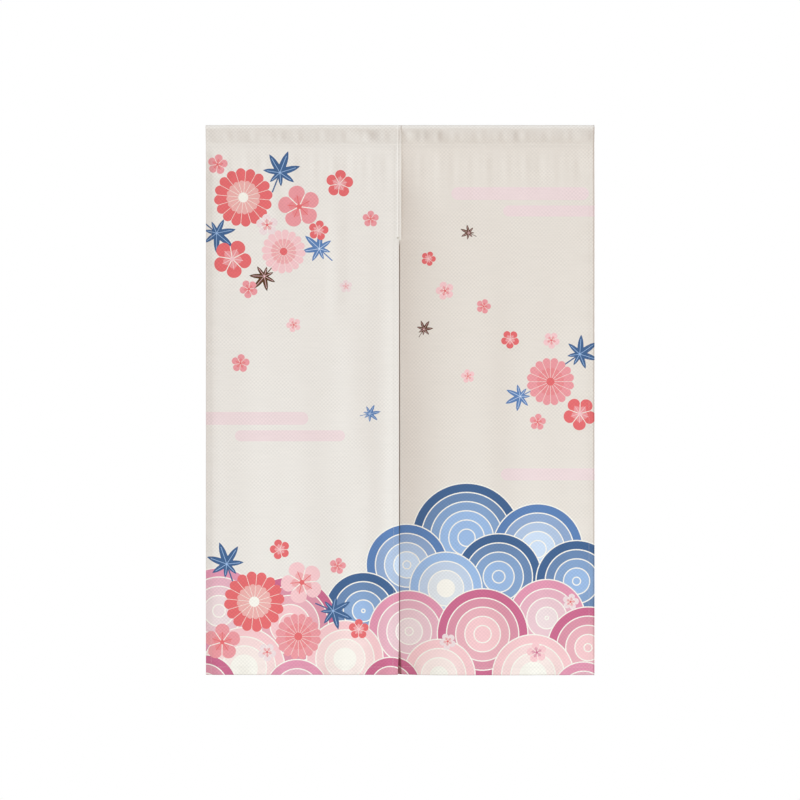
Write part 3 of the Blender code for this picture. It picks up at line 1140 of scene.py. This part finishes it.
# Centre seam
# A row of topstitching through the left panel's inner hem and the right one's lap under it. It
# ends in a bar tack: short satin stitches side by side, which take the strain of the slit.
tack_height = 0.0045
tack_drop = seam_drop - tack_height
tack_width = 0.0056
tack_pitch = 0.00034
tack_count = 13
tack_slant = 0.02
tack_left = 0.0016
seam_x = slit_left - seam_stitch
seam_start = pocket_drop + row_inset
seam_count = int((tack_drop - seam_start) / stitch_pitch)
seam_rows = [
    lay_row(stitch_row(seam_count), "left", (seam_x, seam_start), down=True),
    lay_row(stitch_row(seam_count), "right", (seam_x, seam_start), down=True, under=hem_thick),
]
for number in range(tack_count):
    run = tack_drop + number * tack_pitch
    middle = seam_x + tack_width / 2 - tack_left
    satin = stitch_row(1, length=tack_width, slant=tack_slant)
    seam_rows.append(lay_row(satin, "left", (middle, run)))
sewing("centre_seam", seam_rows, thread_material)


# Floor
# A plain pale floor, two metres below the rod as under a doorway. Its paint is matt and
# nearly white, and throws soft light up on the cloth.
floor_drop = 2.0
floor_size = 4.4
bpy.ops.mesh.primitive_plane_add(size=floor_size, location=(0.0, 0.0, -floor_drop))
floor = bpy.context.object
floor.name = "studio_floor"
floor_material = bpy.data.materials.new("matt white floor paint")
floor_material.use_nodes = True
floor_shader = floor_material.node_tree.nodes["Principled BSDF"]
floor_shader.inputs["Base Color"].default_value = linear("#F1EEEA")
floor_shader.inputs["Roughness"].default_value = 0.8
floor.data.materials.append(floor_material)
floor.select_set(False)


# Light
# A broad soft light from the front right, a weaker one on the back, and a dim warm room. The
# camera sees plain white past the object.

# Each lamp's turn towards the right, rise above level and spread, in degrees
Lamp = namedtuple("Lamp", "name turn rise energy spread colour")
lamps = [
    Lamp("key_light", 52, 10, 3.68, 16, (0.742, 0.91, 1.0)),
    Lamp("top_light", 0, 76, 0.80, 40, (0.60, 0.82, 1.0)),
    Lamp("back_light", 138, 18, 2.1, 30, (0.88, 0.95, 1.0)),
]
for lamp in lamps:
    turned = (math.pi / 2 - math.radians(lamp.rise), 0.0, math.radians(lamp.turn))
    bpy.ops.object.light_add(type="SUN", rotation=turned)
    light = bpy.context.object
    light.name = lamp.name
    light.data.energy = lamp.energy
    light.data.angle = math.radians(lamp.spread)
    light.data.color = lamp.colour
    light.select_set(False)

world = bpy.data.worlds.new("studio")
bpy.context.scene.world = world
world.use_nodes = True
tree = world.node_tree
tree.nodes.clear()
place = add(tree, "TexCoord")
parts = add(tree, "SeparateXYZ", [place.outputs["Generated"]])
behind = add(
    tree,
    "MapRange",
    {"Value": parts.outputs[1], "From Min": -0.3, "From Max": 0.5, "To Min": 0.38, "To Max": 0.13},
)
room = add(tree, "Background", {"Color": (1.0, 0.65, 0.43, 1.0), "Strength": behind})
white = add(tree, "Background", {"Color": (1.0, 1.0, 1.0, 1.0), "Strength": 1.0})
path = add(tree, "LightPath")
mixed = add(tree, "MixShader", [path.outputs["Is Camera Ray"], room, white])
add(tree, "OutputWorld", [mixed])
bpy.context.scene.view_settings.view_transform = "Standard"


# Camera
# Square on to the middle of the cloth, far enough off that its sides stay parallel.
view_height = 1.746
camera_far = 4.6
camera_data = bpy.data.cameras.new("camera")
camera_data.sensor_width = 36.0
camera_data.lens = camera_data.sensor_width * camera_far / view_height
camera = bpy.data.objects.new("camera", camera_data)
bpy.context.collection.objects.link(camera)
camera.location = (0.0, -camera_far, -foot_drop / 2)
camera.rotation_euler = (math.pi / 2, 0.0, 0.0)
bpy.context.scene.camera = camera
